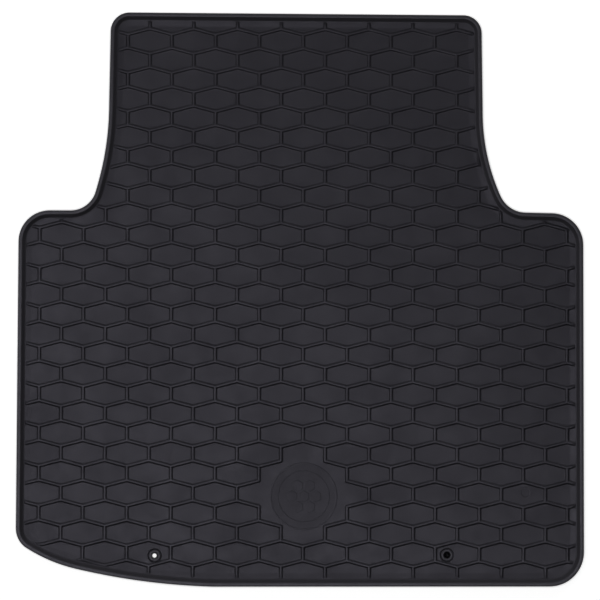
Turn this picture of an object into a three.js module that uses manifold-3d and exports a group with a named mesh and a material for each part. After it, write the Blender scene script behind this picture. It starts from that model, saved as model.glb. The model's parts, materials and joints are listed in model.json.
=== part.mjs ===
// Rubber floor mat for the front footwell of a car or light truck.
//
// The mat is a thin plain web with a raised bead all round. A straight cut
// across the neck parts the toe flap from the floor section, so that the flap
// can turn about the bend line. Near the seat edge are two fixing eyelets,
// each a flanged socket from above and a lock ring or cap from below.
//
// Millimetres. +Z is up, +Y points to the toe edge, +X to the right.
// The origin is near the centre of the mat's footprint, on the ground.

import * as THREE from 'three';
import { mergeVertices } from 'three/addons/utils/BufferGeometryUtils.js';
import Module from 'manifold-3d';

const wasm = await Module();
wasm.setup();

// ---------------------------------------------------------------- mat sizes
// Corner points of the outline, clockwise seen from above, each with the
// radius that rounds it. Straight edges run between them.
const OUTLINE = [
  // x, y, radius
  [-195.3, 294.1, 19.5], // toe edge, left corner
  [185.4, 291.8, 18.9], // toe edge, right corner
  [187.3, 145.8, 210.0], // right side of the neck starts to flare
  [212.3, 89.5, 28.4], // flare meets the right shoulder
  [289.6, 87.9, 32.7], // right shoulder corner
  [290.0, -292.7, 35.3], // seat edge, right corner
  [-87.9, -293.9, 101.2], // seat edge starts to sweep up
  [-156.9, -292.0, 690.0], // sweep
  [-254.2, -270.3, 162.3], // sweep, tighter
  [-289.8, -248.2, 23.8], // left side, lower corner
  [-288.8, 90.3, 31.9], // left shoulder corner
  [-215.5, 90.2, 26.5], // left shoulder meets the flare
  [-197.5, 155.5, 299.9], // left side of the neck starts to flare
];
const CORNER_STEP_DEG = 11; // largest turn of one facet of a corner
const CORNER_MIN_STEPS = 3;

const WEB_TOP_Z = 3.2;
const BEAD_TOP_Z = 9.0;

// Section through the bead, from the ground at the outer edge to the web
const BEAD_SECTION = [
  // distance in from the outline, height
  [0.6, 0.0],
  [0.0, 0.7],
  [0.3, 7.9],
  [1.0, 8.8],
  [2.2, BEAD_TOP_Z],
  [3.4, 8.8],
  [4.1, 8.2],
  [7.6, 4.5], // foot of the steep flank
  [8.6, 4.1],
  [12.8, 3.35], // foot of the gentle ramp
  [13.8, WEB_TOP_Z],
];

const BEND_Y = 145.8; // bend line of the toe flap
const BEND_GAP = 0.4; // width of the cut

// Cutting solids run past the mat by these limits
const SLAB_REACH = 400; // from the origin, along X and Y
const SLAB_HEIGHT = 60; // centred on the ground
const HOLE_BOTTOM_Z = -1;
const HOLE_TOP_Z = 6;

// ------------------------------------------------------------ eyelet sizes
const EYELETS = [
  { side: 'left', x: -148.1, y: -262.5, lock: 'ring' },
  { side: 'right', x: 150.4, y: -261.2, lock: 'cap' },
];
const ROUND_STEPS = 44; // facets of every round part and hole
const WELD_TOLERANCE = 1e-4;

// Holes in the mat, as [radius, bottom, top]
const EYELET_HOLES = [
  [4.7, HOLE_BOTTOM_Z, HOLE_TOP_Z], // bore through the web
  [7.1, 2.6, HOLE_TOP_Z], // shallow dish round the socket's flange
  [7.6, HOLE_BOTTOM_Z, 1.8], // counterbore for the lock
];

const SOCKET_BORE_R = 3.15;
const SOCKET_BARREL_R = 4.3;
const SOCKET_FLANGE_R = 5.5;
const SOCKET_BARB_R = 4.8;
const SOCKET_TOP_Z = 4.1;
const SOCKET_SEAT_Z = 2.9; // underside of the flange
const SOCKET_END_Z = 0.7;

const LOCK_OUTER_R = 7.2;
const LOCK_LIP_R = 4.62; // narrow part, above the barb
const LOCK_RECESS_R = 5.1; // wide part, round the barb
const LOCK_CHAMFER = 0.3; // lower outer edge
const LOCK_BOTTOM_Z = 0.1;
const LOCK_TOP_Z = 1.5;
const LOCK_LIP_Z = 1.15; // underside of the lip
const LOCK_BASE_Z = 0.4; // upper face of the cap's closed base

// --------------------------------------------------------------- materials
const rubber = new THREE.MeshStandardMaterial({
  color: 0x2b2b2f, // dark grey
  roughness: 0.62,
  metalness: 0,
});
const plastic = new THREE.MeshStandardMaterial({
  color: 0x1f1f22, // near black
  roughness: 0.42, // smoother than the rubber
  metalness: 0,
});

// ------------------------------------------------------- solids and meshes
function toManifold(geometry) {
  // Without normals and UVs, vertices at one place weld into a closed solid
  geometry.deleteAttribute('normal');
  geometry.deleteAttribute('uv');
  const welded = mergeVertices(geometry, WELD_TOLERANCE);
  return new wasm.Manifold(
    new wasm.Mesh({
      numProp: 3,
      vertProperties: new Float32Array(welded.attributes.position.array),
      triVerts: new Uint32Array(welded.index.array),
    }),
  );
}

function toGeometry(manifold) {
  const mesh = manifold.getMesh();
  const geometry = new THREE.BufferGeometry();
  const positions = new Float32Array(mesh.vertProperties);
  geometry.setAttribute('position', new THREE.BufferAttribute(positions, 3));
  geometry.setIndex(new THREE.BufferAttribute(new Uint32Array(mesh.triVerts), 1));
  geometry.computeVertexNormals();
  return geometry;
}

// Upright cylinder
function post(x, y, radius, bottom, top) {
  const geometry = new THREE.CylinderGeometry(radius, radius, top - bottom, ROUND_STEPS);
  geometry.rotateX(Math.PI / 2);
  geometry.translate(x, y, (bottom + top) / 2);
  return toManifold(geometry);
}

// Block wider and taller than the mat, between two places along Y
function slab(yStart, yEnd) {
  const geometry = new THREE.BoxGeometry(2 * SLAB_REACH, yEnd - yStart, SLAB_HEIGHT);
  geometry.translate(0, (yStart + yEnd) / 2, 0);
  return toManifold(geometry);
}

// Closed section of [radius, height] points, turned about +Z
function turned(section) {
  const loop = [...section, section[0]].map(([r, z]) => new THREE.Vector2(r, z));
  const geometry = new THREE.LatheGeometry(loop, ROUND_STEPS);
  geometry.rotateX(Math.PI / 2); // the lathe turns about +Y
  return toGeometry(toManifold(geometry));
}

// --------------------------------------------------------------- plan shape
// Right-hand side of a direction: the inside, on a clockwise outline
function rightOf(direction) {
  return new THREE.Vector2(direction.y, -direction.x);
}

// The outline with every edge moved inwards by inset. A corner that bulges
// outwards loses inset from its radius, and one that bulges inwards gains it.
// Corner angles don't change, so every ring has the same number of points.
function outlineRing(inset) {
  const corners = OUTLINE.map(([x, y]) => new THREE.Vector2(x, y));
  const edges = corners.map((corner, i) => {
    const along = corners[(i + 1) % corners.length].clone().sub(corner).normalize();
    return { start: corner.clone().addScaledVector(rightOf(along), inset), along };
  });
  return edges.flatMap((after, i) => {
    const before = edges.at(i - 1);
    const sine = before.along.cross(after.along);
    const between = after.start.clone().sub(before.start);
    const distance = between.cross(after.along) / sine;
    const corner = before.start.clone().addScaledVector(before.along, distance);

    const turn = Math.atan2(sine, before.along.dot(after.along));
    const bulgesOut = turn < 0;
    const radius = OUTLINE[i][2] + (bulgesOut ? -inset : inset);
    const reach = radius * Math.tan(Math.abs(turn) / 2);
    const arcStart = corner.clone().addScaledVector(before.along, -reach);
    const centre = arcStart
      .clone()
      .addScaledVector(rightOf(before.along), bulgesOut ? radius : -radius);

    const turnDeg = (Math.abs(turn) * 180) / Math.PI;
    const steps = Math.max(CORNER_MIN_STEPS, Math.ceil(turnDeg / CORNER_STEP_DEG));
    return Array.from({ length: steps + 1 }, (_, k) =>
      arcStart.clone().rotateAround(centre, (turn * k) / steps),
    );
  });
}

// ------------------------------------------------------------------ the mat
// Triangles that fill a ring, whose first vertex has index offset
function capIndex(ring, offset, facesUp) {
  return THREE.ShapeUtils.triangulateShape([...ring], []).flatMap(([a, b, c]) => {
    const sideB = ring[b].clone().sub(ring[a]);
    const sideC = ring[c].clone().sub(ring[a]);
    const anticlockwise = sideB.cross(sideC) > 0;
    const triangle = anticlockwise === facesUp ? [a, b, c] : [a, c, b];
    return triangle.map((vertex) => offset + vertex);
  });
}

// Rings up the bead's section, closed by the web on top and the ground
// face underneath
function mouldingSolid() {
  const rings = BEAD_SECTION.map(([inset]) => outlineRing(inset));
  const positions = rings.flatMap((ring, k) =>
    ring.flatMap((point) => [point.x, point.y, BEAD_SECTION[k][1]]),
  );
  const count = rings[0].length;
  const last = rings.length - 1;
  const index = [];
  for (let k = 0; k < last; k++) {
    for (let i = 0; i < count; i++) {
      const a = k * count + i;
      const b = k * count + ((i + 1) % count);
      // The rings run clockwise, so this order faces outwards
      index.push(a, a + count, b, b, a + count, b + count);
    }
  }
  index.push(...capIndex(rings[0], 0, false));
  index.push(...capIndex(rings[last], last * count, true));
  const geometry = new THREE.BufferGeometry();
  geometry.setAttribute('position', new THREE.Float32BufferAttribute(positions, 3));
  geometry.setIndex(index);
  return toManifold(geometry);
}

function matSolid() {
  let mat = mouldingSolid();
  for (const { x, y } of EYELETS) {
    for (const [radius, bottom, top] of EYELET_HOLES) {
      mat = mat.subtract(post(x, y, radius, bottom, top));
    }
  }
  return mat;
}

// -------------------------------------------------------------- the eyelets
function socketGeometry() {
  return turned([
    // barb round the lower end
    [SOCKET_BORE_R, SOCKET_END_Z],
    [SOCKET_BARREL_R, SOCKET_END_Z],
    [SOCKET_BARB_R, SOCKET_END_Z + 0.03],
    [SOCKET_BARB_R, SOCKET_END_Z + 0.1],
    [SOCKET_BARREL_R, SOCKET_END_Z + 0.14],
    // barrel, then the flange with its rounded rim
    [SOCKET_BARREL_R, SOCKET_SEAT_Z],
    [SOCKET_FLANGE_R, SOCKET_SEAT_Z],
    [SOCKET_FLANGE_R, SOCKET_SEAT_Z + 0.4],
    [SOCKET_FLANGE_R - 0.25, SOCKET_SEAT_Z + 0.8],
    [SOCKET_FLANGE_R - 0.75, SOCKET_TOP_Z - 0.08],
    [SOCKET_FLANGE_R - 1.15, SOCKET_TOP_Z],
    // rounded mouth of the bore
    [SOCKET_BORE_R + 0.7, SOCKET_TOP_Z - 0.06],
    [SOCKET_BORE_R + 0.22, SOCKET_TOP_Z - 0.34],
    [SOCKET_BORE_R, SOCKET_TOP_Z - 0.8],
  ]);
}

// The ring is open right through; the cap has a closed base
function lockGeometry(kind) {
  const base =
    kind === 'cap'
      ? [[LOCK_RECESS_R, LOCK_BASE_Z], [0, LOCK_BASE_Z], [0, LOCK_BOTTOM_Z]]
      : [[LOCK_RECESS_R, LOCK_BOTTOM_Z]];
  return turned([
    [LOCK_LIP_R, LOCK_TOP_Z],
    [LOCK_LIP_R, LOCK_LIP_Z],
    [LOCK_RECESS_R, LOCK_LIP_Z],
    ...base,
    [LOCK_OUTER_R - LOCK_CHAMFER, LOCK_BOTTOM_Z],
    [LOCK_OUTER_R, LOCK_BOTTOM_Z + LOCK_CHAMFER],
    [LOCK_OUTER_R, LOCK_TOP_Z],
  ]);
}

// ----------------------------------------------------------------- assembly
const group = new THREE.Group();

function add(name, geometry, material, x = 0, y = 0) {
  const mesh = new THREE.Mesh(geometry, material);
  mesh.name = name;
  mesh.position.set(x, y, 0);
  group.add(mesh);
}

const mat = matSolid();
const floorSection = mat.intersect(slab(-SLAB_REACH, BEND_Y - BEND_GAP / 2));
const toeSection = mat.intersect(slab(BEND_Y + BEND_GAP / 2, SLAB_REACH));
add('mat_floor_section', toGeometry(floorSection), rubber);
add('mat_toe_section', toGeometry(toeSection), rubber);

for (const { side, x, y, lock } of EYELETS) {
  add(`${side}_eyelet_socket`, socketGeometry(), plastic, x, y);
  add(`${side}_eyelet_lock_${lock}`, lockGeometry(lock), plastic, x, y);
}

export default group;
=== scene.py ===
# Rubber floor mat with two plastic eyelets, built round the CAD frame.
#
# The mat lies flat on z = 0, about the origin, with its toe edge towards +Y. It is one
# moulded sheet that bends over the toe line. Its web carries a honeycomb of low ribs, a
# plain field with a roundel, a raised rim with a ledge inside it, and grip studs
# underneath. The two eyelets are turned pieces.
#
# Sizes are in millimetres and the meshes are in metres.

import json
import math

import bpy
import numpy as np
from mathutils import Matrix, Vector
from mathutils.geometry import delaunay_2d_cdt


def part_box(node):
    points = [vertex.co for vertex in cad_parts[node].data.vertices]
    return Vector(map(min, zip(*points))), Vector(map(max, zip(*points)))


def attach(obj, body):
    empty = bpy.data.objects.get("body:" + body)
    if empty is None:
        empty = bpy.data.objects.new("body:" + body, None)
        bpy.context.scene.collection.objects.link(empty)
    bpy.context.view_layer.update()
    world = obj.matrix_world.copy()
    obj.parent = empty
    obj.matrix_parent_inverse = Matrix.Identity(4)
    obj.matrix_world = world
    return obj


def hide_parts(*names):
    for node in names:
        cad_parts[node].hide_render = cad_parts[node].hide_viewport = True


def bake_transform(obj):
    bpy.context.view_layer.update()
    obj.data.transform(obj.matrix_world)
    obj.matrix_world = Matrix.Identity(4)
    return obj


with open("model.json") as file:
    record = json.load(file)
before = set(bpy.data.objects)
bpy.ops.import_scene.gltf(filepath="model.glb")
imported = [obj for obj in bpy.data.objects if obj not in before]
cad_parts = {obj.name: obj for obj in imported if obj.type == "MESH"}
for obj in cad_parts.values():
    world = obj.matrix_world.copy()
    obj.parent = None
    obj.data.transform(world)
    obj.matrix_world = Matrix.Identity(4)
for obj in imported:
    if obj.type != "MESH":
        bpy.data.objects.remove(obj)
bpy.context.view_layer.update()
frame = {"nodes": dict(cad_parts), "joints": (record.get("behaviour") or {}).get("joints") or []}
MM = 0.001


def flat_centre(node):
    low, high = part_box(node)
    return np.array([(low.x + high.x) / 2, (low.y + high.y) / 2]) / MM


# ------------------------------------------------------------------ sizes
# Corners of the plan, clockwise from the toe edge's left corner: x, y, rounding radius
OUTLINE = np.array([
    [-195.3, 294.1, 19.5],
    [185.4, 291.8, 18.9],
    [187.3, 145.8, 210.0],
    [212.3, 89.5, 28.4],
    [289.6, 87.9, 32.7],
    [290.0, -292.7, 35.3],
    [-87.9, -293.9, 101.2],
    [-156.9, -292.0, 690.0],
    [-254.2, -270.3, 162.3],
    [-289.8, -248.2, 23.8],
    [-288.8, 90.3, 31.9],
    [-215.5, 90.2, 26.5],
    [-197.5, 155.5, 299.9],
])
# Longest steps along the outline. Above NECK_Y it is cut finer, to bend.
NECK_Y = 84.0
NECK_STEP, ARC_STEP, LINE_STEP = 3.2, 7.0, 8.0
ARC_DEGREES = 5.0

WEB_TOP = 3.2
UNDER_Z = 0.9  # underside of the web
RIM_TOP = 9.0
# Rim, from its underside over the crown to the foot of the inner wall:
# distance in from the outline, height
RIM = [
    [0.62, 0.0], [0.25, 0.1], [0.05, 0.38], [0.0, 0.8], [0.08, 3.2], [0.22, 5.8], [0.3, 7.7],
    [0.38, 8.2], [0.54, 8.55], [0.8, 8.8], [1.2, 8.94], [1.8, 8.99], [2.5, RIM_TOP],
    [3.2, 8.99], [3.8, 8.95], [4.3, 8.82], [4.65, 8.52], [4.95, 8.04], [5.4, 7.15],
    [5.9, 6.15], [6.35, 5.26], [6.7, 4.62], [7.0, 4.2], [7.35, 3.93], [7.8, 3.79], [8.35, 3.72],
]
WALL_FOOT = RIM[-1][0]
# Ledge, falling gently from the wall's foot to the web: distance in, height
LEDGE = [
    RIM[-1], [8.9, 3.67], [9.6, 3.61], [10.4, 3.53], [11.2, 3.44], [12.0, 3.35],
    [12.8, 3.28], [13.6, 3.22], [14.2, WEB_TOP], [14.8, WEB_TOP],
]
# Inner edge of the rim's foot on the underside: distance in, height
UNDER_FOOT = [[9.0, 0.0], [9.4, 0.5], [9.9, UNDER_Z]]
# Painted light on the rim: how far below its top the crown's painted highlight fades out,
# how far in it may reach, and the wall's painted light as distance in, share
CROWN_FADE, CROWN_REACH = 0.55, 4.8
WALL_MARK = [[4.3, 0.0], [4.9, 1.0], [6.9, 1.0], [7.7, 0.0]]

# Honeycomb. Rows of cells hang from zigzag lines, numbered downwards (towards -Y).
COLUMN_PITCH = 45.0
ROW_PITCH = 20.3
TOE_ROW_PITCH = 19.86
TOE_ROWS = 7
TOE_DROP = 0.4
RISE = 6.0  # of a peak over the valleys beside it
PEAK_X = -290.05
TOE_LINE_Y = 138.87
GRID_SHIFT = np.array([0.3, 0.06])
GRID_SKEW = np.array([-0.0018, -0.0016])
LINE_NUMBERS, COLUMN_NUMBERS = range(-2, 29), range(-1, 15)
# Cells without ribs, which make the plain field: line, column
FIELD_CELLS = [
    (21, 6.5), (22, 6.0), (22, 7.0), (23, 5.5), (23, 6.5), (23, 7.5), (24, 6.0), (24, 7.0),
    (25, 6.5),
]
RIB_HEIGHT = 1.25
# Half a rib: distance from its centre line, share of its height
RIB = [
    [0.0, 1.0], [0.6, 0.99], [0.92, 0.92], [1.18, 0.72], [1.48, 0.4], [1.78, 0.15],
    [2.08, 0.03], [2.4, 0.0],
]
RIB_GUARD = 2.8  # one more loop, on the flat web beside the rib
RIB_BLEND = 0.22  # softens the corner where two ribs meet
CELL_FILLET = 0.45
# How the ribs sink into the ledge: distance in from the outline, share of the height left
RIB_FADE = [[8.4, 0.0], [8.9, 0.45], [9.8, 0.52], [11.0, 0.85], [12.2, 1.0]]
# Cells nearer to the outline than this have their sides cut to this length
NEAR_EDGE, SIDE_STEP = 30, 6.0

BEND_AXIS = np.array(frame["joints"][0]["pos_m"]) / MM
BEND_FROM, BEND_TO = BEND_AXIS[1] - 30.0, BEND_AXIS[1] + 65.0
BEND_STEP = 4.0

EYELETS = [flat_centre("left_eyelet_socket"), flat_centre("right_eyelet_socket")]
BORE_STEPS = 64
# Dish round an eyelet, from its bore outwards: radius, height
DISH = [
    [4.55, 2.78], [5.3, 2.74], [5.6, 2.5], [5.95, 2.41], [6.3, 2.5], [6.7, 2.82],
    [7.05, 3.08], [7.4, 3.17], [7.8, WEB_TOP],
]
BORE_R, DISH_R = DISH[0][0], DISH[-1][0]
DISH_GUARD = 0.5
COUNTERBORE_R, COUNTERBORE_Z, COUNTERBORE_BEVEL = 7.6, 1.8, 0.15
# Bore, from below the dish down to the underside: radius, height
BORE = [
    [BORE_R, 2.6],
    [BORE_R, COUNTERBORE_Z],
    [COUNTERBORE_R - COUNTERBORE_BEVEL, COUNTERBORE_Z],
    [COUNTERBORE_R, COUNTERBORE_Z - COUNTERBORE_BEVEL],
    [COUNTERBORE_R, 0.3],
]
PAD_R, PAD_SLOPE = 11.5, 0.7  # thick pad under an eyelet, and the width of its flank

# Roundel: two fine rings round seven small hexagons
ROUNDEL = np.array([3.9, -201.8])
ROUNDEL_R = 33.6
ROUNDEL_INNER_R = 26.0
ROUNDEL_RISE = 0.14
INNER_RING_SHARE = 0.8  # of the rise
RING_TOP, RING_FOOT = 0.45, 0.85  # half widths
INNER_RING_TOP, INNER_RING_FOOT = 0.2, 0.5
ROUNDEL_CELL_R = 6.2
ROUNDEL_CELL_BEVEL = 0.35
ROUNDEL_CELLS = [ROUNDEL] + [
    ROUNDEL + 2 * ROUNDEL_CELL_R * np.array([math.cos(angle), math.sin(angle)])
    for angle in np.radians(np.arange(0, 360, 60))
]

# Round pin mark, sunk into the web
PIN_MARK = np.array([230.7, -197.2])
PIN_MARK_R = 4.8
PIN_MARK_DEPTH, PIN_MARK_BEVEL = 0.1, 0.4

# Grip studs, on a staggered grid
STUD_PITCH_X, STUD_PITCH_Y = 15.0, 13.0
STUD_ROWS, STUD_COLUMNS = range(-24, 25), range(-21, 22)
STUD_EDGE_GAP, STUD_PAD_GAP = 14.5, 3.5
STUD = [[2.35, UNDER_Z], [2.05, 0.42], [1.65, 0.08], [1.2, 0.0]]  # radius, height


# --------------------------------------------------------- plane geometry
def cross(first, second):
    return first[..., 0] * second[..., 1] - first[..., 1] * second[..., 0]


def left_of(direction):
    return np.stack([-direction[..., 1], direction[..., 0]], -1)


def turned_about(point, centre, angle):
    arm = point - centre
    cosine, sine = math.cos(angle), math.sin(angle)
    return centre + np.array([arm[0] * cosine - arm[1] * sine, arm[0] * sine + arm[1] * cosine])


def circle(centre, radius, count, phase=0.0):
    angle = phase + np.arange(count) * (2 * math.pi / count)
    return np.asarray(centre) + radius * np.stack([np.cos(angle), np.sin(angle)], 1)


def hexagon(centre, radius):
    """A hexagon with a corner at +Y."""
    return circle(centre, radius, 6, math.pi / 6)


def lookup(table, where):
    """Second column of a table, interpolated where the first has the given values."""
    first, second = np.transpose(table)
    return np.interp(where, first, second)


def side_offsets(points, loop):
    """A closed loop's sides, each point's offset from every side, and that offset squared."""
    sides = np.roll(loop, -1, 0) - loop
    reach = points[:, None, :] - loop[None]
    share = np.clip((reach * sides).sum(2) / (sides ** 2).sum(1), 0, 1)
    offsets = reach - share[..., None] * sides
    return sides, offsets, (offsets ** 2).sum(2)


def inset(loop, distance):
    """An anticlockwise loop with every side moved inwards and the corners slightly rounded."""
    points = []
    for i, corner in enumerate(loop):
        arrive, leave = corner - loop[i - 1], loop[(i + 1) % len(loop)] - corner
        arrive = arrive / np.linalg.norm(arrive)
        leave = leave / np.linalg.norm(leave)
        in0, in1 = left_of(arrive), left_of(leave)
        turn = math.atan2(cross(arrive, leave), float(arrive @ leave))
        if turn >= 0:  # bulges outwards
            moved = corner + (in0 + in1) * (distance / (1 + float(in0 @ in1)))
            start = moved - arrive * (CELL_FILLET * math.tan(turn / 2))
            centre = start + in0 * CELL_FILLET
            steps = 2
        else:  # bulges inwards: an arc about the corner
            start, centre, steps = corner + in0 * distance, corner, 4
        points += [turned_about(start, centre, turn * k / steps) for k in range(steps + 1)]
    return np.array(points)


def split_sides(loop):
    points = []
    for start, end in zip(loop, np.roll(loop, -1, 0)):
        count = max(1, math.ceil(np.linalg.norm(end - start) / SIDE_STEP))
        points += [start + (end - start) * (k / count) for k in range(count)]
    return np.array(points)


# ---------------------------------------------------------------- outline
def corner_arcs(distance):
    """Start, centre and turn of each corner's arc, on the outline moved inwards."""
    corners = OUTLINE[:, :2]
    along = np.roll(corners, -1, 0) - corners
    along /= np.linalg.norm(along, axis=1)[:, None]
    moved = corners - left_of(along) * distance
    arcs = []
    for i, radius in enumerate(OUTLINE[:, 2]):
        arrive, leave = along[i - 1], along[i]
        sine = cross(arrive, leave)
        corner = moved[i - 1] + arrive * (cross(moved[i] - moved[i - 1], leave) / sine)
        turn = math.atan2(sine, float(arrive @ leave))
        radius = radius + (-distance if turn < 0 else distance)
        start = corner - arrive * (radius * math.tan(abs(turn) / 2))
        centre = start + left_of(arrive) * math.copysign(1, turn) * radius
        arcs.append((start, centre, turn))
    return arcs


def count_steps():
    """Steps in each rounded corner and each straight edge, the same for every ring."""
    arcs = corner_arcs(0.0)
    arc_steps, line_steps = [], []
    for i, (start, centre, turn) in enumerate(arcs):
        length = abs(turn) * np.linalg.norm(start - centre)
        step = NECK_STEP if start[1] > NECK_Y - 10 else ARC_STEP
        by_angle = math.ceil(math.degrees(abs(turn)) / ARC_DEGREES)
        arc_steps.append(max(4, by_angle, math.ceil(length / step)))
        end = turned_about(start, centre, turn)
        after = arcs[(i + 1) % len(arcs)][0]
        on_neck = min(end[1], after[1]) > NECK_Y and abs(end[1] - after[1]) > 20
        step = NECK_STEP if on_neck else LINE_STEP
        line_steps.append(max(1, math.ceil(np.linalg.norm(after - end) / step)))
    return arc_steps, line_steps


ARC_COUNTS, LINE_COUNTS = count_steps()


def ring(distance):
    """The outline moved inwards, as points, clockwise."""
    arcs = corner_arcs(distance)
    points = []
    for i, (start, centre, turn) in enumerate(arcs):
        count = ARC_COUNTS[i]
        points += [turned_about(start, centre, turn * k / count) for k in range(count + 1)]
        end, after = points[-1], arcs[(i + 1) % len(arcs)][0]
        count = LINE_COUNTS[i]
        points += [end + (after - end) * (k / count) for k in range(1, count)]
    return np.array(points)


EDGE = ring(0.0)


def depth(points):
    """Distance in from the outline, negative outside. Points far inside just get 99."""
    points = np.asarray(points, float)
    depths = np.full(len(points), 99.0)
    x, y = points.T
    body = (np.abs(x) < 262) & (y > -240) & (y < 62)
    neck = (np.abs(x) < 162) & (y >= 62) & (y < 266)
    near = np.nonzero(~(body | neck))[0]
    batch = 3000  # keeps the arrays small
    for first in range(0, len(near), batch):
        ids = near[first : first + batch]
        sides, offsets, squares = side_offsets(points[ids], EDGE)
        nearest = squares.argmin(1)
        rows = np.arange(len(ids))
        # the outline runs clockwise, so its left is outside
        outside = cross(sides[nearest], offsets[rows, nearest]) > 0
        depths[ids] = np.sqrt(squares[rows, nearest]) * np.where(outside, -1.0, 1.0)
    return depths


def eyelet_distance(points):
    """Distance to the centre of the nearer eyelet."""
    return np.min([np.linalg.norm(points - centre, axis=1) for centre in EYELETS], 0)


# -------------------------------------------------------------- honeycomb
def to_plan(places):
    """From the honeycomb's own square grid to the plan, where it sits a little skew."""
    places = np.asarray(places, float)
    return places + GRID_SHIFT + places[..., ::-1] * GRID_SKEW


def to_grid(points):
    places = np.asarray(points, float) - GRID_SHIFT
    return places - places[..., ::-1] * GRID_SKEW


def line_y(line):
    """Height in the plan of a zigzag line's peaks."""
    rows = TOE_ROWS - np.asarray(line, float)
    return TOE_LINE_Y + np.where(rows > 0, rows * TOE_ROW_PITCH - TOE_DROP, rows * ROW_PITCH)


def grid_corners(line, column):
    """Corners of the cell under a line's peak at a column, anticlockwise, on the grid."""
    x, top, low = PEAK_X + column * COLUMN_PITCH, line_y(line), line_y(line + 1)
    left, right = x - COLUMN_PITCH / 2, x + COLUMN_PITCH / 2
    return [
        (x, top), (left, top - RISE), (left, low), (x, low - RISE), (right, low),
        (right, top - RISE),
    ]


def cell(line, column):
    return to_plan(grid_corners(line, column))


def merged(cells):
    """One outline round several touching cells, anticlockwise."""

    def key(point):
        return round(float(point[0]), 3), round(float(point[1]), 3)

    sides = {}
    for corners in cells:
        for start, end in zip(corners, np.roll(corners, -1, 0)):
            # a side shared with another cell cancels out
            if sides.pop((key(end), key(start)), None) is None:
                sides[key(start), key(end)] = start
    after = {begin: (point, finish) for (begin, finish), point in sides.items()}
    first = at = next(iter(after))
    loop = []
    while True:
        point, at = after[at]
        loop.append(point)
        if at == first:
            return np.array(loop)


FIELD = merged([cell(line, column) for line, column in FIELD_CELLS])


def zigzag(line, x):
    columns = (x - PEAK_X) / COLUMN_PITCH - 0.5 * (line % 2)
    return line_y(line) - RISE * (2 * np.abs(columns - np.round(columns)))


def rib_distance(points):
    """Distance from each point to the nearest rib's centre line."""
    x, y = to_grid(points).T
    line = np.floor(TOE_ROWS - (y - TOE_LINE_Y) / ROW_PITCH).astype(int)
    for _ in range(3):  # from a guess to the line just above the point
        line = np.where(zigzag(line, x) < y, line - 1, line)
        line = np.where(zigzag(line + 1, x) >= y, line + 1, line)
    half = 0.5 * (line % 2)
    column = np.round((x - PEAK_X) / COLUMN_PITCH - half) + half
    corners = grid_corners(line, column)
    to_sides = []
    for (x0, y0), (x1, y1) in zip(corners, corners[1:] + corners[:1]):
        side_x, side_y = x1 - x0, y1 - y0
        across = side_x * (y - y0) - side_y * (x - x0)
        to_sides.append(across / np.hypot(side_x, side_y))
    to_sides = np.array(to_sides)
    least = to_sides.min(0)
    distance = -RIB_BLEND * np.log(np.exp(-(to_sides - least) / RIB_BLEND).sum(0)) + least
    # a point of the plain field is measured to the field's own outline
    in_field = np.any([(line == row) & (column == place) for row, place in FIELD_CELLS], 0)
    _, _, squares = side_offsets(points[in_field], FIELD)
    distance[in_field] = np.sqrt(squares).min(1)
    return np.maximum(distance, 0.0)


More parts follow.
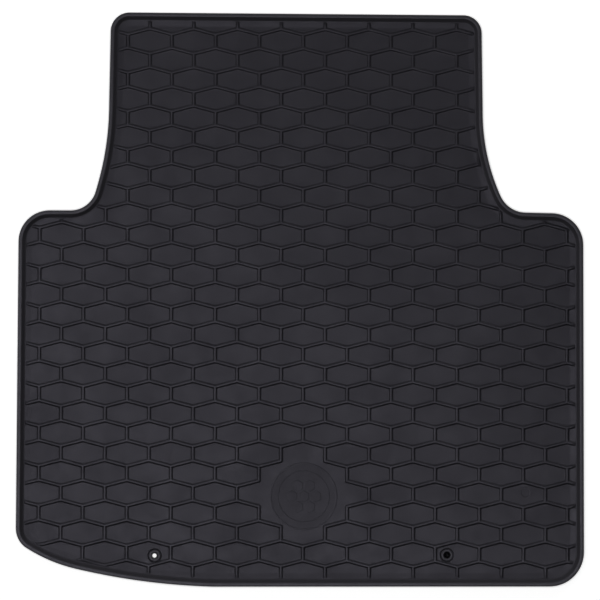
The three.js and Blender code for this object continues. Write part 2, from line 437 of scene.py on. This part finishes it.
# --------------------------------------------------- flat triangulations
class Plan:
    """Points and lines to triangulate in the plan. Named loops are walls."""

    def __init__(self, boundary):
        self.points, self.edges, self.named = [], [], {}
        self.count = 0
        self.loop(boundary, "boundary")

    def loop(self, points, name=None, closed=True):
        size, base = len(points), self.count
        self.points.append(points)
        self.count += size
        last = size if closed else size - 1
        self.edges += [(base + i, base + (i + 1) % size) for i in range(last)]
        if name:
            self.named[name] = range(base, base + size)

    def loops_clipped(self, loops, clearance):
        """Adds closed loops, keeping only what lies where clearance(points) is positive."""
        every_clear = clearance(np.concatenate(loops)) > 0
        runs, kept, dropped = [], [], []  # a run has a cut at each end
        base = 0
        for loop in loops:
            size = len(loop)
            clear = every_clear[base : base + size]
            base += size
            if clear.all():
                self.loop(loop)
            elif clear.any():
                before = np.roll(clear, 1)
                first = np.nonzero(clear & ~before)[0][0]
                for j in (first + np.arange(size)) % size:
                    if clear[j] and not before[j]:
                        runs.append([])
                        kept.append(loop[j])
                        dropped.append(loop[j - 1])
                    elif before[j] and not clear[j]:
                        kept.append(loop[j - 1])
                        dropped.append(loop[j])
                    if clear[j]:
                        runs[-1].append(loop[j])
        kept, dropped = np.array(kept), np.array(dropped)
        low, high = np.zeros(len(kept)), np.ones(len(kept))
        for _ in range(12):  # halving finds where each cut side leaves the clear part
            middle = (low + high) / 2
            clear = clearance(kept + (dropped - kept) * middle[:, None]) > 0
            low, high = np.where(clear, middle, low), np.where(clear, high, middle)
        cuts = kept + (dropped - kept) * low[:, None]
        for i, run in enumerate(runs):
            self.loop(np.array([cuts[2 * i], *run, cuts[2 * i + 1]]), closed=False)

    def solve(self):
        """Points, triangles and named loops of all that is reached from the origin
        without crossing a wall."""
        places = [Vector((float(x), float(y))) for x, y in np.concatenate(self.points)]
        verts, _, faces, source, _, _ = delaunay_2d_cdt(places, self.edges, [], 0, 1e-4, True)
        flat = np.array([(vert.x, vert.y) for vert in verts])
        triangles = np.array([face for face in faces if len(face) == 3], int)
        first, second, third = (flat[triangles[:, i]] for i in range(3))
        area = cross(second - first, third - first)
        triangles[area < 0] = triangles[area < 0][:, ::-1]

        new_id = {old: i for i, olds in enumerate(source) for old in olds}
        named = {name: [new_id[i] for i in ids] for name, ids in self.named.items()}
        sides = {}
        for index, (i, j, k) in enumerate(triangles.tolist()):
            for pair in ((i, j), (j, k), (k, i)):
                sides.setdefault(tuple(sorted(pair)), []).append(index)
        for ids in named.values():
            for pair in zip(ids, ids[1:] + ids[:1]):
                sides.pop(tuple(sorted(pair)), None)
        neighbours = [[] for _ in triangles]
        for pair in sides.values():
            if len(pair) == 2:
                neighbours[pair[0]].append(pair[1])
                neighbours[pair[1]].append(pair[0])

        seed = int(np.linalg.norm((first + second + third) / 3, axis=1).argmin())
        reached = np.zeros(len(triangles), bool)
        reached[seed] = True
        waiting = [seed]
        while waiting:
            for index in neighbours[waiting.pop()]:
                if not reached[index]:
                    reached[index] = True
                    waiting.append(index)
        return flat, triangles[reached], named


def bend_lines(plan, clearance, heights):
    """Lines across the neck, so that the sheet has rows of vertices to bend at."""
    for y in heights:
        x = np.arange(-215.0, 215.0, 2.0)
        clear = x[clearance(np.stack([x, np.full(len(x), y)], 1)) > 0]
        plan.loop(np.array([[clear.min(), y], [clear.max(), y]]), closed=False)


# --------------------------------------------------------- the upper side
def hexagon_distance(points, centre, radius):
    """Distance outside the sides of hexagon(centre, radius), negative inside."""
    arms = points - centre
    angle = np.radians([0, 60, 120, 180, 240, 300])
    reach = arms[:, :1] * np.cos(angle) + arms[:, 1:] * np.sin(angle)
    return reach.max(1) - radius * math.cos(math.pi / 6)


def roundel_height(points):
    from_centre = np.linalg.norm(points - ROUNDEL, axis=1)

    def ridge(radius, top, foot):
        stations = [radius - foot, radius - top, radius + top, radius + foot]
        return np.interp(from_centre, stations, [0, 1, 1, 0])

    share = np.maximum(
        ridge(ROUNDEL_R, RING_TOP, RING_FOOT),
        INNER_RING_SHARE * ridge(ROUNDEL_INNER_R, INNER_RING_TOP, INNER_RING_FOOT),
    )
    for centre in ROUNDEL_CELLS:
        outside = hexagon_distance(points, centre, ROUNDEL_CELL_R)
        share = np.maximum(share, np.interp(outside, [-ROUNDEL_CELL_BEVEL, 0.0], [1, 0]))
    return share * ROUNDEL_RISE


def upper_height(points):
    """Height of the upper side, and how much of it is rib."""
    depths = depth(points)
    rib = lookup(RIB, rib_distance(points)) * lookup(RIB_FADE, depths)
    z = lookup(LEDGE, depths) + RIB_HEIGHT * rib
    radius = eyelet_distance(points)
    in_dish = radius < DISH_R + 1e-6
    z = np.where(in_dish, np.minimum(z, lookup(DISH, radius)), z)
    rib = np.where(in_dish, 0.0, rib)
    z = z + roundel_height(points)
    radius = np.linalg.norm(points - PIN_MARK, axis=1)
    z = z - np.interp(radius, [PIN_MARK_R - PIN_MARK_BEVEL, PIN_MARK_R], [PIN_MARK_DEPTH, 0.0])
    return z, rib


def honeycomb_loops():
    """The contour lines of the ribs, cell by cell."""
    levels = [distance for distance, _ in RIB[1:]] + [RIB_GUARD]
    loops = []
    for line in LINE_NUMBERS:
        for number in COLUMN_NUMBERS:
            column = number + 0.5 * (line % 2)
            corners = cell(line, column)
            reach = depth(np.vstack([corners, corners.mean(0)]))
            if reach.max() < WALL_FOOT or (line, column) in FIELD_CELLS:
                continue
            for level in levels:
                loop = inset(corners, level)
                loops.append(split_sides(loop) if reach.min() < NEAR_EDGE else loop)
            # its ribs' centre lines, cut alike in both of the cells they part
            loops.append(split_sides(corners))
    # the field's inner cells have no ribs, so only its outline is drawn
    loops += [inset(FIELD, level) for level in levels]
    loops.append(split_sides(FIELD))
    return loops


def upper_side():
    plan = Plan(ring(WALL_FOOT))
    for distance, _ in LEDGE[1:]:
        plan.loop(ring(distance))

    def clearance(points):
        from_dish = eyelet_distance(points) - DISH_R - (DISH_GUARD + 0.05)
        return np.minimum(depth(points) - (WALL_FOOT + 0.4), from_dish)

    plan.loops_clipped(honeycomb_loops(), clearance)
    for i, centre in enumerate(EYELETS):
        plan.loop(circle(centre, BORE_R, BORE_STEPS), f"bore{i}")
        for radius, _ in DISH[1:]:
            plan.loop(circle(centre, radius, BORE_STEPS))
        plan.loop(circle(centre, DISH_R + DISH_GUARD, BORE_STEPS))
    # fine circles: centre, radius, steps, offsets from the radius
    for centre, radius, count, offsets in (
        (ROUNDEL, ROUNDEL_R, 120, (-1.3, -RING_FOOT, -RING_TOP, 0.0, RING_TOP, RING_FOOT, 1.3)),
        (ROUNDEL, ROUNDEL_INNER_R, 96, (-0.9, -0.5, -0.2, 0.2, 0.5, 0.9)),
    ):
        for offset in offsets:
            plan.loop(circle(centre, radius + offset, count))
    for centre in ROUNDEL_CELLS:
        for offset in (0.5, 0.0, -0.4, -0.9):
            plan.loop(hexagon(centre, ROUNDEL_CELL_R + offset))
    for offset in (-0.9, -PIN_MARK_BEVEL, 0.0, 0.5):
        plan.loop(circle(PIN_MARK, PIN_MARK_R + offset, 40))
    heights = np.arange(BEND_FROM - BEND_STEP, BEND_TO + BEND_STEP + 0.1, BEND_STEP)
    bend_lines(plan, clearance, heights)
    flat, triangles, named = plan.solve()
    z, rib = upper_height(flat)
    return np.column_stack([flat, z]), triangles, named, rib


# --------------------------------------------------------- the under side
def stud_centres():
    centres = np.array([
        [column * STUD_PITCH_X + (row % 2) * STUD_PITCH_X / 2, row * STUD_PITCH_Y]
        for row in STUD_ROWS
        for column in STUD_COLUMNS
    ])
    centres = centres[depth(centres) > STUD_EDGE_GAP]
    return centres[eyelet_distance(centres) > PAD_R + STUD_PAD_GAP]


def lower_height(points, centres):
    z = lookup([[0.0, 0.0]] + UNDER_FOOT, depth(points))
    real = {(round(float(x), 2), round(float(y), 2)) for x, y in centres}
    x, y = points.T
    # the nearest place of the staggered grid, in the point's own row and those beside it
    for shift in (-1, 0, 1):
        row = np.round(y / STUD_PITCH_Y).astype(int) + shift
        stagger = (row % 2) * STUD_PITCH_X / 2
        stud_x = np.round((x - stagger) / STUD_PITCH_X) * STUD_PITCH_X + stagger
        stud_y = row * STUD_PITCH_Y
        radius = np.hypot(x - stud_x, y - stud_y)
        on_stud = np.array([
            near and (round(float(a), 2), round(float(b), 2)) in real
            for near, a, b in zip(radius < STUD[0][0] + 1e-4, stud_x, stud_y)
        ])
        z = np.where(on_stud, np.minimum(z, lookup(STUD[::-1], radius)), z)
    pad = lookup([[PAD_R, 0.0], [PAD_R + PAD_SLOPE, UNDER_Z]], eyelet_distance(points))
    return np.minimum(z, pad)


def lower_side():
    plan = Plan(ring(RIM[0][0]))
    for distance, _ in UNDER_FOOT:
        plan.loop(ring(distance))
    centres = stud_centres()
    for centre in centres:
        for radius, _ in STUD:
            plan.loop(circle(centre, radius, 12))
    for i, centre in enumerate(EYELETS):
        plan.loop(circle(centre, COUNTERBORE_R, BORE_STEPS), f"bore{i}")
        plan.loop(circle(centre, PAD_R, BORE_STEPS))
        plan.loop(circle(centre, PAD_R + PAD_SLOPE, BORE_STEPS))
    # quarter lines between the rows of studs
    rows = [STUD_PITCH_Y * (k + part) for k in range(8, 17) for part in (0.25, 0.5, 0.75)]
    heights = [y for y in rows if BEND_FROM - 6 < y < BEND_TO + 6]
    bend_lines(plan, lambda points: depth(points) - (UNDER_FOOT[-1][0] + 0.4), heights)
    flat, triangles, named = plan.solve()
    return np.column_stack([flat, lower_height(flat, centres)]), triangles[:, ::-1], named


# ---------------------------------------------------------------- the mat
def object_from(name, points, faces):
    mesh = bpy.data.meshes.new(name)
    mesh.from_pydata((np.asarray(points) * MM).tolist(), [], [list(map(int, f)) for f in faces])
    mesh.validate()
    mesh.update()
    mesh.polygons.foreach_set("use_smooth", np.ones(len(mesh.polygons), bool))
    obj = bpy.data.objects.new(name, mesh)
    bpy.context.scene.collection.objects.link(obj)
    return obj


def build_mat():
    top_points, top_triangles, top_named, rib = upper_side()
    low_points, low_triangles, low_named = lower_side()
    points, faces = [], []
    marks = {"rib": [], "crown": [], "wall": [], "disc": []}  # for the material

    def extend(new_points, **values):
        """Adds points with their marks, and gives the points' indices."""
        base = sum(map(len, points))
        points.append(new_points)
        for name, rows in marks.items():
            rows.append(np.broadcast_to(values.get(name, 0.0), len(new_points)).astype(float))
        return np.arange(base, base + len(new_points))

    def raised(flat, z, **values):
        return extend(np.column_stack([flat, np.full(len(flat), z)]), **values)

    def bridge(loops, flip=False):
        for near, far in zip(loops, loops[1:]):
            quad = [near, far, np.roll(far, -1), np.roll(near, -1)]
            if flip:
                quad = quad[:1] + quad[:0:-1]
            faces.extend(np.stack(quad, 1).tolist())

    from_roundel = np.linalg.norm(top_points[:, :2] - ROUNDEL, axis=1)
    in_roundel = from_roundel < ROUNDEL_R - (RING_FOOT + 0.01)
    top = extend(top_points, rib=rib, disc=in_roundel)
    low = extend(low_points)
    faces += top[top_triangles].tolist()
    faces += low[low_triangles].tolist()

    # the rim, from the underside's edge to the ledge
    loops = [low[low_named["boundary"]]]
    # the crown and wall marks carry painted light: a painted highlight on the crown, paler paint
    # on the inner wall
    for distance, z in RIM[1:-1]:
        crown = max(0.0, 1 - abs(z - RIM_TOP) / CROWN_FADE) if distance < CROWN_REACH else 0.0
        loops.append(raised(ring(distance), z, crown=crown, wall=lookup(WALL_MARK, distance)))
    bridge(loops + [top[top_named["boundary"]]])

    # the bore of each eyelet, from the dish down through the counterbore
    for i, centre in enumerate(EYELETS):
        loops = [top[top_named[f"bore{i}"]]]
        loops += [raised(circle(centre, radius, BORE_STEPS), z) for radius, z in BORE]
        bridge(loops + [low[low_named[f"bore{i}"]]], flip=True)

    obj = object_from("floor_mat", np.concatenate(points), faces)
    obj.data.set_sharp_from_angle(angle=math.radians(42))
    for name, rows in marks.items():
        attribute = obj.data.attributes.new(name, "FLOAT", "POINT")
        attribute.data.foreach_set("value", np.concatenate(rows).astype(np.float32))
    return obj


# ------------------------------------------------------------ the eyelets
TURNED_STEPS = 96


def turned_piece(name, centre, section):
    """A closed section of [radius, height] turned about the vertical. Radius 0 is the axis."""
    points, loops, faces = [], [], []
    for radius, z in section:
        base = len(points)
        if radius < 1e-6:
            points.append([*centre, z])
            loops.append([base] * TURNED_STEPS)
        else:
            points += [[x, y, z] for x, y in circle(centre, radius, TURNED_STEPS)]
            loops.append(range(base, base + TURNED_STEPS))
    for near, far in zip(loops, loops[1:] + loops[:1]):
        if near[0] == near[1] and far[0] == far[1]:  # along the axis
            continue
        for k in range(TURNED_STEPS):
            after = (k + 1) % TURNED_STEPS
            quad = [near[k], near[after], far[after], far[k]]
            faces.append([index for j, index in enumerate(quad) if index != quad[j - 1]])
    return object_from(name, points, faces)


def arc(radius, z, bend, start, end, steps):
    """Section points on an arc of radius bend about [radius, z], from start to end degrees."""
    angles = np.radians(np.linspace(start, end, steps + 1))
    return [[radius + bend * math.cos(angle), z + bend * math.sin(angle)] for angle in angles]


# Sections: radius, height
SOCKET = (
    [[3.15, 0.72], [3.25, 0.7], [4.2, 0.7], [4.3, 0.72], [4.8, 0.78], [4.8, 0.82]]
    + [[4.3, 0.86], [4.3, 2.9], [4.35, 2.92], [5.42, 2.92]]
    + arc(5.4, 3.02, bend=0.1, start=-60, end=0, steps=2)
    + [[5.5, 3.3], [5.5, 3.72]]
    + arc(5.12, 3.74, bend=0.38, start=8, end=82, steps=5)
    + [[4.8, 4.13], [4.2, 4.12], [3.9, 4.08], [3.7, 3.99], [3.26, 3.55], [3.18, 3.42]]
    + [[3.15, 3.2]]
)
LOCK_INNER = [[4.62, 1.5], [4.55, 1.44], [4.55, 1.2], [4.62, 1.15], [5.1, 1.15]]
LOCK_OUTER = (
    [[6.9, 0.1]]
    + arc(6.9, 0.4, bend=0.3, start=-75, end=0, steps=5)
    + [[7.2, 1.4], [7.1, 1.5]]
)
LOCK_RING = LOCK_INNER + [[5.1, 0.14], [5.14, 0.1]] + LOCK_OUTER
LOCK_CAP = LOCK_INNER + [[5.1, 0.4], [0.0, 0.4], [0.0, 0.1]] + LOCK_OUTER


# -------------------------------------------------------------- materials
class Nodes:
    """Small helper to write shader graphs."""

    def __init__(self, name):
        self.material = bpy.data.materials.new(name)
        self.material.use_nodes = True
        self.tree = self.material.node_tree
        self.tree.nodes.clear()
        self.out = self.tree.nodes.new("ShaderNodeOutputMaterial")

    def fill(self, socket, value):
        if isinstance(value, bpy.types.NodeSocket):
            self.tree.links.new(value, socket)
        else:
            socket.default_value = value

    def add(self, kind, *values, settings=None, **named):
        """A node, with its inputs filled in order or by name."""
        node = self.tree.nodes.new("ShaderNode" + kind)
        for name, value in (settings or {}).items():
            setattr(node, name, value)
        for socket, value in zip(node.inputs, values):
            self.fill(socket, value)
        for name, value in named.items():
            self.fill(node.inputs[name.replace("_", " ")], value)
        return node

    def math(self, operation, first, second, clamp=False):
        settings = {"operation": operation, "use_clamp": clamp}
        return self.add("Math", first, second, settings=settings).outputs[0]

    def plus(self, first, second, clamp=False):
        return self.math("ADD", first, second, clamp)

    def times(self, value, by):
        return self.math("MULTIPLY", value, by)

    def larger(self, first, second):
        return self.math("MAXIMUM", first, second)

    def mix(self, share, base, top):
        node = self.add("Mix", share, settings={"data_type": "RGBA"})
        self.fill(node.inputs[6], base)
        self.fill(node.inputs[7], top)
        return node.outputs[2]

    def ramp(self, value, span, to=(0.0, 1.0)):
        return self.add("MapRange", value, *span, *to).outputs[0]

    def noise(self, coord, **named):
        return self.add("TexNoise", Vector=coord, **named).outputs["Fac"]

    def mark(self, name):
        return self.add("Attribute", settings={"attribute_name": name}).outputs["Fac"]

    def occlusion(self, distance):
        node = self.add("AmbientOcclusion", settings={"samples": 8}, Distance=distance)
        return node.outputs["AO"]

    def finish(self, shader):
        self.tree.links.new(shader, self.out.inputs["Surface"])
        return self.material


SHEEN = (0.96, 0.925, 1.11, 1)  # cold reflection of the black materials


def rubber_material():
    g = Nodes("mat_rubber")
    coord = g.add("TexCoord").outputs["Object"]
    rib, crown, wall, disc = (g.mark(name) for name in ("rib", "crown", "wall", "disc"))
    # slow clouds: uneven bloom on the rubber
    cloud = g.noise(coord, Scale=9.0, Detail=3.0, Roughness=0.55)
    patch = g.noise(coord, Scale=48.0, Detail=1.5, Roughness=0.5)
    # fine mould texture
    grain = g.noise(coord, Scale=2600.0, Detail=2.0, Roughness=0.6)
    pits = g.add("TexVoronoi", Vector=coord, Scale=1500.0).outputs["Distance"]
    mottle = g.noise(coord, Scale=240.0, Detail=1.0)
    speck = g.noise(coord, Scale=900.0, Detail=1.0)
    tone = g.plus(g.times(cloud, by=0.5), g.times(patch, by=0.5))

    tone_span = (0.35, 0.65)
    colour = g.mix(
        g.ramp(tone, span=tone_span),
        base=(0.0092, 0.0088, 0.0109, 1),
        top=(0.0158, 0.0153, 0.018, 1),
    )
    dust = g.times(g.ramp(speck, span=(0.62, 0.72)), by=g.ramp(patch, span=(0.45, 0.7)))
    colour = g.mix(g.times(dust, by=0.25), base=colour, top=(0.04, 0.039, 0.038, 1))
    polish = g.larger(g.ramp(rib, span=(0.7, 1.0)), crown)
    # painted highlight: the rim's crown is painted lighter
    colour = g.mix(g.times(crown, by=0.8), base=colour, top=(0.0445, 0.0435, 0.048, 1))
    # painted light: the rim's inner wall is painted paler, standing in for light on it
    colour = g.mix(g.times(wall, by=0.9), base=colour, top=(0.05, 0.0482, 0.0555, 1))
    # the roundel is a little darker
    colour = g.mix(g.times(disc, by=0.25), base=colour, top=(0.006, 0.006, 0.007, 1))

    rough = g.plus(g.ramp(tone, span=tone_span, to=(0.492, 0.428)), g.times(polish, by=-0.04))
    rough = g.plus(rough, g.times(wall, by=0.12))
    rough = g.plus(rough, g.times(disc, by=0.03))
    rough = g.plus(rough, g.ramp(mottle, span=(0.3, 0.7), to=(-0.018, 0.018)))
    rough = g.plus(rough, g.ramp(grain, span=(0.3, 0.7), to=(-0.03, 0.03)), clamp=True)

    relief = g.plus(g.times(grain, by=0.6), g.times(pits, by=0.4))
    fine = g.add("Bump", Strength=0.35, Distance=0.00012, Height=relief).outputs["Normal"]
    wave = g.add("Bump", Strength=0.25, Distance=0.0006, Height=patch, Normal=fine)
    bsdf = g.add(
        "BsdfPrincipled",
        Base_Color=colour,
        Roughness=rough,
        Normal=wave.outputs["Normal"],
        IOR=1.5,
        Specular_Tint=SHEEN,
        Specular_IOR_Level=0.5,
    )
    return g.finish(bsdf.outputs[0])


def plastic_material():
    g = Nodes("eyelet_plastic")
    coord = g.add("TexCoord").outputs["Object"]
    cloud = g.noise(coord, Scale=180.0, Detail=3.0)
    grain = g.noise(coord, Scale=5200.0, Detail=2.0)
    colour = g.mix(
        g.ramp(cloud, span=(0.35, 0.65)),
        base=(0.024, 0.0235, 0.0265, 1),
        top=(0.032, 0.0315, 0.035, 1),
    )
    rough = g.plus(
        g.ramp(cloud, span=(0.3, 0.7), to=(0.36, 0.46)),
        g.ramp(grain, span=(0.3, 0.7), to=(-0.03, 0.03)),
        clamp=True,
    )
    # painted shade: deep recesses are painted near black and lose their reflection, but not on
    # faces that look down
    open_air = g.ramp(g.occlusion(0.006), span=(0.5, 0.8))
    normal = g.add("SeparateXYZ", g.add("NewGeometry").outputs["Normal"])
    facing_down = g.ramp(normal.outputs[2], span=(-0.3, -0.1), to=(1.0, 0.0))
    open_air = g.larger(open_air, facing_down)
    colour = g.mix(open_air, base=(0.002, 0.002, 0.002, 1), top=colour)
    bump = g.add("Bump", Strength=0.25, Distance=0.00005, Height=grain)
    bsdf = g.add(
        "BsdfPrincipled",
        Base_Color=colour,
        Roughness=rough,
        Normal=bump.outputs["Normal"],
        Specular_IOR_Level=g.times(open_air, by=0.5),
        IOR=1.49,
        Specular_Tint=SHEEN,
    )
    return g.finish(bsdf.outputs[0])


FLOOR_GLOW = 0.76


def floor_material():
    g = Nodes("studio_floor")
    # a little contact shade, close to the mat and under its holes
    contact = g.occlusion(0.0018)
    strength = g.times(g.times(contact, by=contact), by=FLOOR_GLOW)
    # painted shade: a dark ring on the floor under the left eyelet, round a bright spot
    x, y = EYELETS[0]
    spot = ((x - 0.4) * MM, (y - 0.2) * MM, 0)
    place = g.add("TexCoord").outputs["Object"]
    away = g.add("VectorMath", place, spot, settings={"operation": "DISTANCE"}).outputs["Value"]
    shade = g.larger(
        g.ramp(away, span=(0.0016, 0.0026), to=(1, 0)),
        g.ramp(away, span=(0.008, 0.009)),
    )
    strength = g.times(strength, by=shade)
    # painted shade: the floor's own colour is darkened in the same ring
    colour = g.mix(shade, base=(0.04, 0.04, 0.045, 1), top=(0.82, 0.82, 0.82, 1))
    lit = g.add("BsdfDiffuse", Color=colour)
    glow = g.add("Emission", Color=(1, 1, 1, 1), Strength=strength)
    both = g.add("AddShader", lit.outputs[0], glow.outputs[0])
    # clear to the camera from below, and to light
    clear = g.add("BsdfTransparent")
    backfacing = g.add("NewGeometry").outputs["Backfacing"]
    see_through = g.larger(backfacing, g.add("LightPath").outputs["Is Shadow Ray"])
    pick = g.add("MixShader", see_through, both.outputs[0], clear.outputs[0])
    return g.finish(pick.outputs[0])


# ----------------------------------------------------------------- build
mat = build_mat()
rubber = rubber_material()
plastic = plastic_material()
mat.data.materials.append(rubber)
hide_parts("mat_floor_section", "mat_toe_section")
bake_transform(mat)

for name, node, centre, section in (
    ("left_socket", "left_eyelet_socket", EYELETS[0], SOCKET),
    ("right_socket", "right_eyelet_socket", EYELETS[1], SOCKET),
    ("left_lock_ring", "left_eyelet_lock_ring", EYELETS[0], LOCK_RING),
    ("right_lock_cap", "right_eyelet_lock_cap", EYELETS[1], LOCK_CAP),
):
    piece = turned_piece(name, centre, section)
    piece.data.materials.append(plastic)
    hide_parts(node)
    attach(piece, "mat_floor")

for node in frame["nodes"].values():  # hidden, but kept in a sensible material
    if not node.data.materials:
        node.data.materials.append(rubber)
    for slot in node.material_slots:
        slot.material = plastic if "eyelet" in node.name else rubber

# ----------------------------------------------------------------- stage
FLOOR_DROP = 0.03  # keeps the floor just clear of the mat

floor_mesh = bpy.data.meshes.new("studio_floor")
floor_corners = [(-6, -6, 0), (6, -6, 0), (6, 6, 0), (-6, 6, 0)]  # in metres
floor_mesh.from_pydata(floor_corners, [], [(0, 1, 2, 3)])
floor = bpy.data.objects.new("studio_floor", floor_mesh)
floor.location.z = -FLOOR_DROP * MM
bpy.context.scene.collection.objects.link(floor)
floor.data.materials.append(floor_material())

# Square softboxes aimed at the origin: name, azimuth and elevation in degrees, distance
# and size in metres, watts. Azimuth 0 is over the toe edge, 90 to the right.
LIGHTS = [
    ("overhead_seat", 180, 76.5, 3.0, 0.8, 8.4),
    ("overhead_left", -90, 78, 3.0, 0.8, 5.8),
    ("overhead_right", 90, 78, 3.0, 0.8, 1.5),
    ("high_left", -90, 62, 3.0, 1.0, 4.85),
    ("high_seat", 195, 66, 3.0, 1.0, 1.6),
    ("toe", 0, 45, 3.0, 1.1, 3.0),
    ("low_toe_left", -30, 26, 3.0, 1.1, 8.1),
    ("low_toe_right", 30, 26, 3.0, 1.1, 8.3),
    ("low_left", -90, 26, 3.0, 1.1, 4.8),
    ("low_right", 90, 26, 3.0, 1.1, 2.2),
    ("low_seat", 200, 26, 3.0, 1.1, 0.8),
    ("under", 0, -90, 2.0, 2.0, 36.0),
]
for name, azimuth, elevation, distance, size, power in LIGHTS:
    data = bpy.data.lights.new(name, "AREA")
    data.shape, data.size, data.energy = "SQUARE", size, power
    light = bpy.data.objects.new(name, data)
    around, up = math.radians(azimuth), math.radians(elevation)
    back = Vector((math.sin(around) * math.cos(up), math.cos(around) * math.cos(up), math.sin(up)))
    light.location = back * distance
    light.rotation_mode = "QUATERNION"
    light.rotation_quaternion = back.to_track_quat("Z", "Y")
    bpy.context.scene.collection.objects.link(light)

world = bpy.data.worlds.new("studio")
world.use_nodes = True
background = world.node_tree.nodes["Background"]
background.inputs["Color"].default_value = (1, 1, 1, 1)
background.inputs["Strength"].default_value = 0.012
bpy.context.scene.world = world
bpy.context.scene.view_settings.view_transform = "Standard"
bpy.context.scene.view_settings.look = "None"

# ---------------------------------------------------------------- camera
# Looks almost straight down, with the toe edge at the top of the picture
CAMERA_PLACE = (0.003452, -0.087575, 2.562332)  # in metres
CAMERA_TURN = Matrix((
    (0.999996, -0.002505, 0.001486),
    (0.002554, 0.999426, -0.033784),
    (-0.0014, 0.033787, 0.999428),
))
camera = bpy.data.objects.new("camera", bpy.data.cameras.new("camera"))
camera.data.lens, camera.data.sensor_width = 150.0, 36.0
camera.data.clip_start, camera.data.clip_end = 0.05, 50.0
camera.matrix_world = Matrix.Translation(CAMERA_PLACE) @ CAMERA_TURN.to_4x4()
bpy.context.scene.collection.objects.link(camera)
bpy.context.scene.camera = camera
